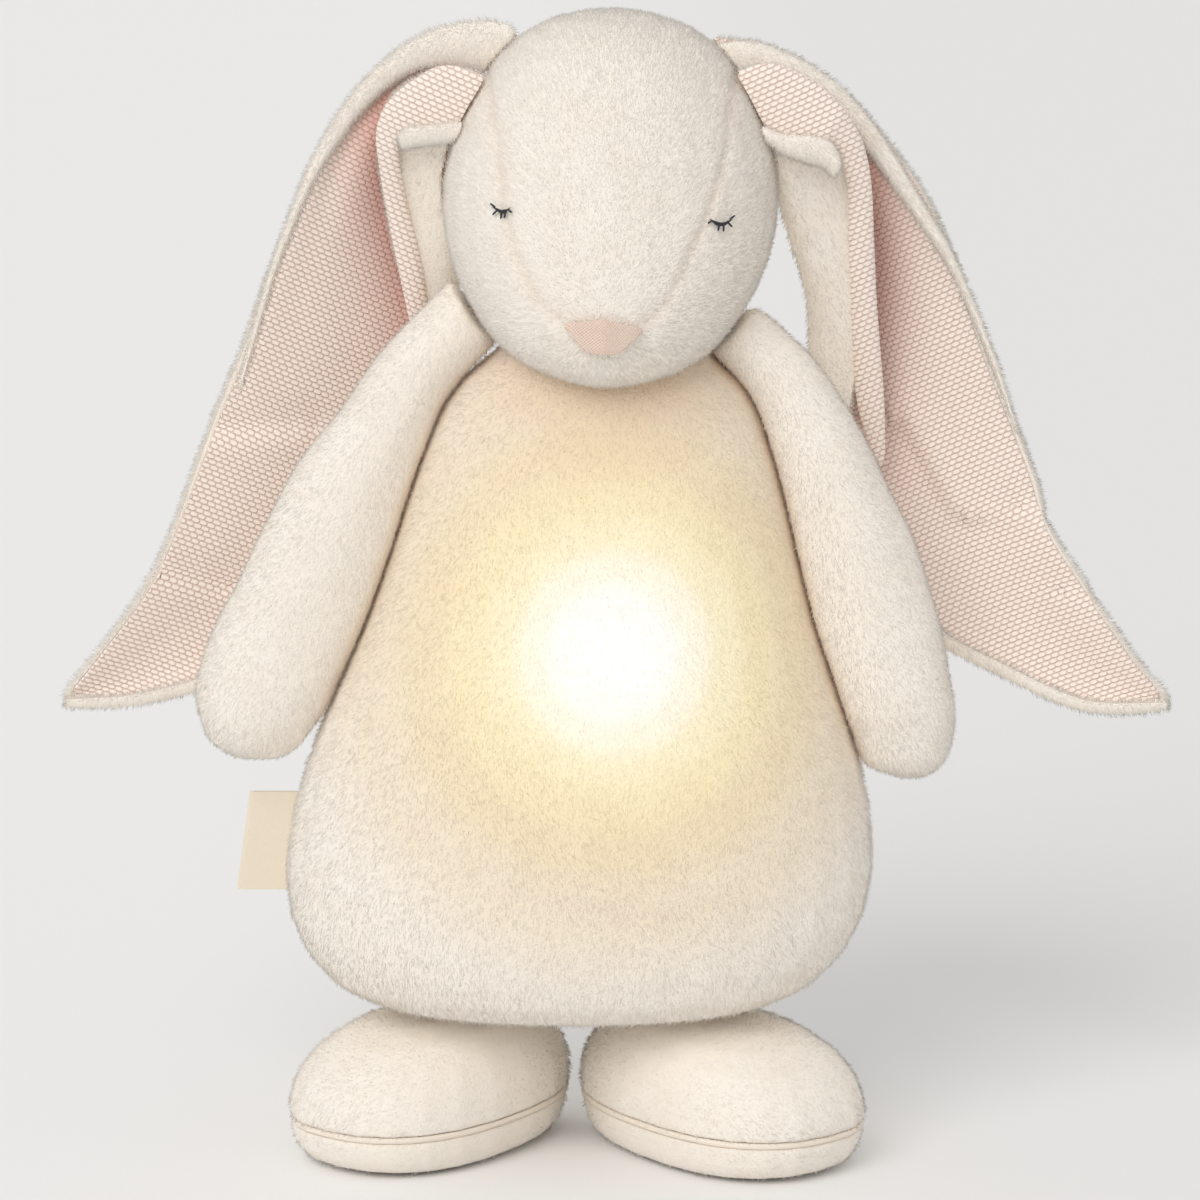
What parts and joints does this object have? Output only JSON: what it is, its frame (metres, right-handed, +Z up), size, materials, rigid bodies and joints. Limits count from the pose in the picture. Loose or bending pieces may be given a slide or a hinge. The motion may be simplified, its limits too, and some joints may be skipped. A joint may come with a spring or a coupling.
{
  "type": "plush night light",
  "caption": "Standing plush rabbit night light with long lined lop ears, hanging arms, stuffed feet and a glowing light module in its belly.",
  "frame": {"origin": "on the floor, under the middle of the overall box", "axes": "+Z up, -Y the way the face looks, +X towards the figure's own left"},
  "size_m": [0.3091, 0.1021, 0.3179],
  "materials": {
    "cream_plush": "short cream plush pile",
    "blush_knit": "textured blush knit",
    "nose_cloth": "ribbed blush cloth",
    "dark_thread": "embroidery thread",
    "ribbon": "folded woven ribbon, blank",
    "pocket_cloth": "smooth lining cloth",
    "hook_and_loop": "hook and loop tape",
    "white_plastic": "moulded white plastic",
    "milky_plastic": "milky translucent plastic",
    "reflector_white": "glossy white plastic",
    "board": "green circuit board",
    "led": "yellow LED",
    "dark_rubber": "soft grey rubber",
    "steel": "plated steel",
    "cell": "wrapped battery cell",
    "wire_red": "red insulation",
    "wire_black": "black insulation"
  },
  "bodies": {
    "torso": {"torso": "cream_plush", "foot_left": "cream_plush", "foot_right": "cream_plush", "sole_left": "cream_plush", "sole_right": "cream_plush", "opening_lip_left": "cream_plush", "opening_lip_right": "cream_plush", "side_label": "ribbon", "pocket_liner": "pocket_cloth", "opening_placket": "pocket_cloth", "hook_tape": "hook_and_loop", "loop_tape": "hook_and_loop"},
    "head": {"head": "cream_plush", "nose": "nose_cloth", "eye_left": "dark_thread", "eye_right": "dark_thread"},
    "arm_left": {"arm_left": "cream_plush"},
    "arm_right": {"arm_right": "cream_plush"},
    "ear_left": {"ear_left_back": "cream_plush", "ear_left_lining": "blush_knit"},
    "ear_right": {"ear_right_back": "cream_plush", "ear_right_lining": "blush_knit"},
    "light_module": {"rear_housing": "white_plastic", "front_housing": "white_plastic", "light_diffuser": "milky_plastic", "reflector": "reflector_white", "circuit_board": "board", "led_1": "led", "led_2": "led", "led_3": "led", "led_4": "led", "power_switch": "dark_rubber", "brightness_switch": "dark_rubber", "battery_1": "cell", "battery_2": "cell", "battery_3": "cell", "battery_spring_1": "steel", "battery_spring_2": "steel", "battery_spring_3": "steel", "contact_plate_left": "steel", "contact_plate_right": "steel", "battery_wire_red": "wire_red", "battery_wire_black": "wire_black", "housing_screw_1": "steel", "housing_screw_2": "steel", "housing_screw_3": "steel"},
    "battery_door": {"battery_door": "white_plastic", "door_screw": "steel"},
    "power_button": {"power_button": "dark_rubber"},
    "brightness_button": {"brightness_button": "dark_rubber"}
  },
  "joints": [
    {"name": "head_tilt", "type": "hinge", "parent": "torso", "child": "head", "pos_m": [-0.00369, 0.001, 0.2223], "axis": [0, 1, 0], "range_deg": [-3, 3]},
    {"name": "arm_left_lift", "type": "hinge", "parent": "torso", "child": "arm_left", "pos_m": [-0.03975, -0.005, 0.2365], "axis": [0, 1, 0], "range_deg": [0, 20]},
    {"name": "arm_right_lift", "type": "hinge", "parent": "torso", "child": "arm_right", "pos_m": [0.03025, -0.005, 0.2365], "axis": [0, -1, 0], "range_deg": [0, 20]},
    {"name": "ear_left_lift", "type": "hinge", "parent": "head", "child": "ear_left", "pos_m": [-0.02475, 0.001, 0.3145], "axis": [0, 1, 0], "range_deg": [0, 75]},
    {"name": "ear_right_lift", "type": "hinge", "parent": "head", "child": "ear_right", "pos_m": [0.01825, 0.001, 0.3125], "axis": [0, -1, 0], "range_deg": [0, 75]},
    {"name": "module_pull", "type": "slide", "parent": "torso", "child": "light_module", "axis": [0, 1, 0], "range_m": [0, 0.08], "deforming": ["opening_lip_left", "opening_lip_right", "opening_placket", "hook_tape", "loop_tape"]},
    {"name": "battery_door_lift", "type": "slide", "parent": "light_module", "child": "battery_door", "axis": [0, 1, 0], "range_m": [0, 0.012]},
    {"name": "power_button_press", "type": "slide", "parent": "light_module", "child": "power_button", "axis": [0, -1, 0], "range_m": [0, 0.001], "stiffness_N_per_m": 800, "springref_m": -0.0003},
    {"name": "brightness_button_press", "type": "slide", "parent": "light_module", "child": "brightness_button", "axis": [0, -1, 0], "range_m": [0, 0.001], "stiffness_N_per_m": 800, "springref_m": -0.0003}
  ]
}
